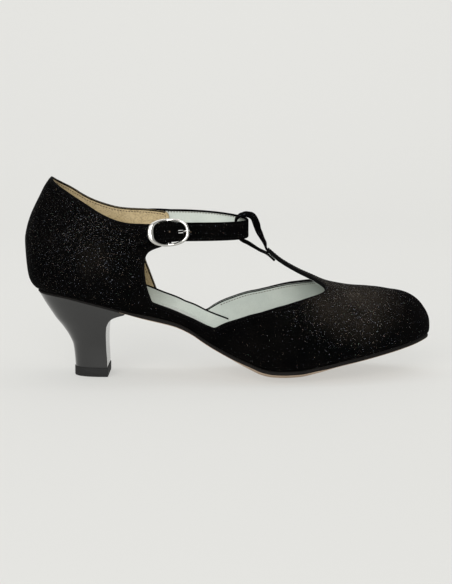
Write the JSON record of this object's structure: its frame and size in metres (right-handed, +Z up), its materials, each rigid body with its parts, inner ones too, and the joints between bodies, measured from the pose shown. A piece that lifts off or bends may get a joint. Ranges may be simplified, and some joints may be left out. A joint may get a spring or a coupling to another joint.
{
  "type": "ballroom dance shoe",
  "caption": "Right dance shoe with a T-bar vamp, open sides, a buckled ankle strap, a thin curved sole and a flared spool heel.",
  "frame": {"origin": "centre of the top lift's flat underside, on the floor", "axes": "+X forwards to the toe, +Y to the inner (arch) side of the foot, +Z up from the floor"},
  "size_m": [0.2409, 0.0806, 0.1177],
  "materials": {
    "suede": "black suede with a napped matt face and a fine scattered glitter",
    "sole_leather": "tan brushed suede underside with a black painted edge",
    "insole_leather": "pale smooth sock leather",
    "heel_gloss": "black gloss lacquer",
    "lift_rubber": "matt black rubber",
    "buckle_metal": "polished silver-coloured plating"
  },
  "bodies": {
    "root": {"upper": "suede", "outsole": "sole_leather", "insole": "insole_leather", "heel": "heel_gloss", "top_lift": "lift_rubber", "ankle_strap": "suede", "t_bar_loop": "suede", "buckle_tab": "suede", "buckle": "buckle_metal", "buckle_prong": "buckle_metal"}
  },
  "joints": []
}
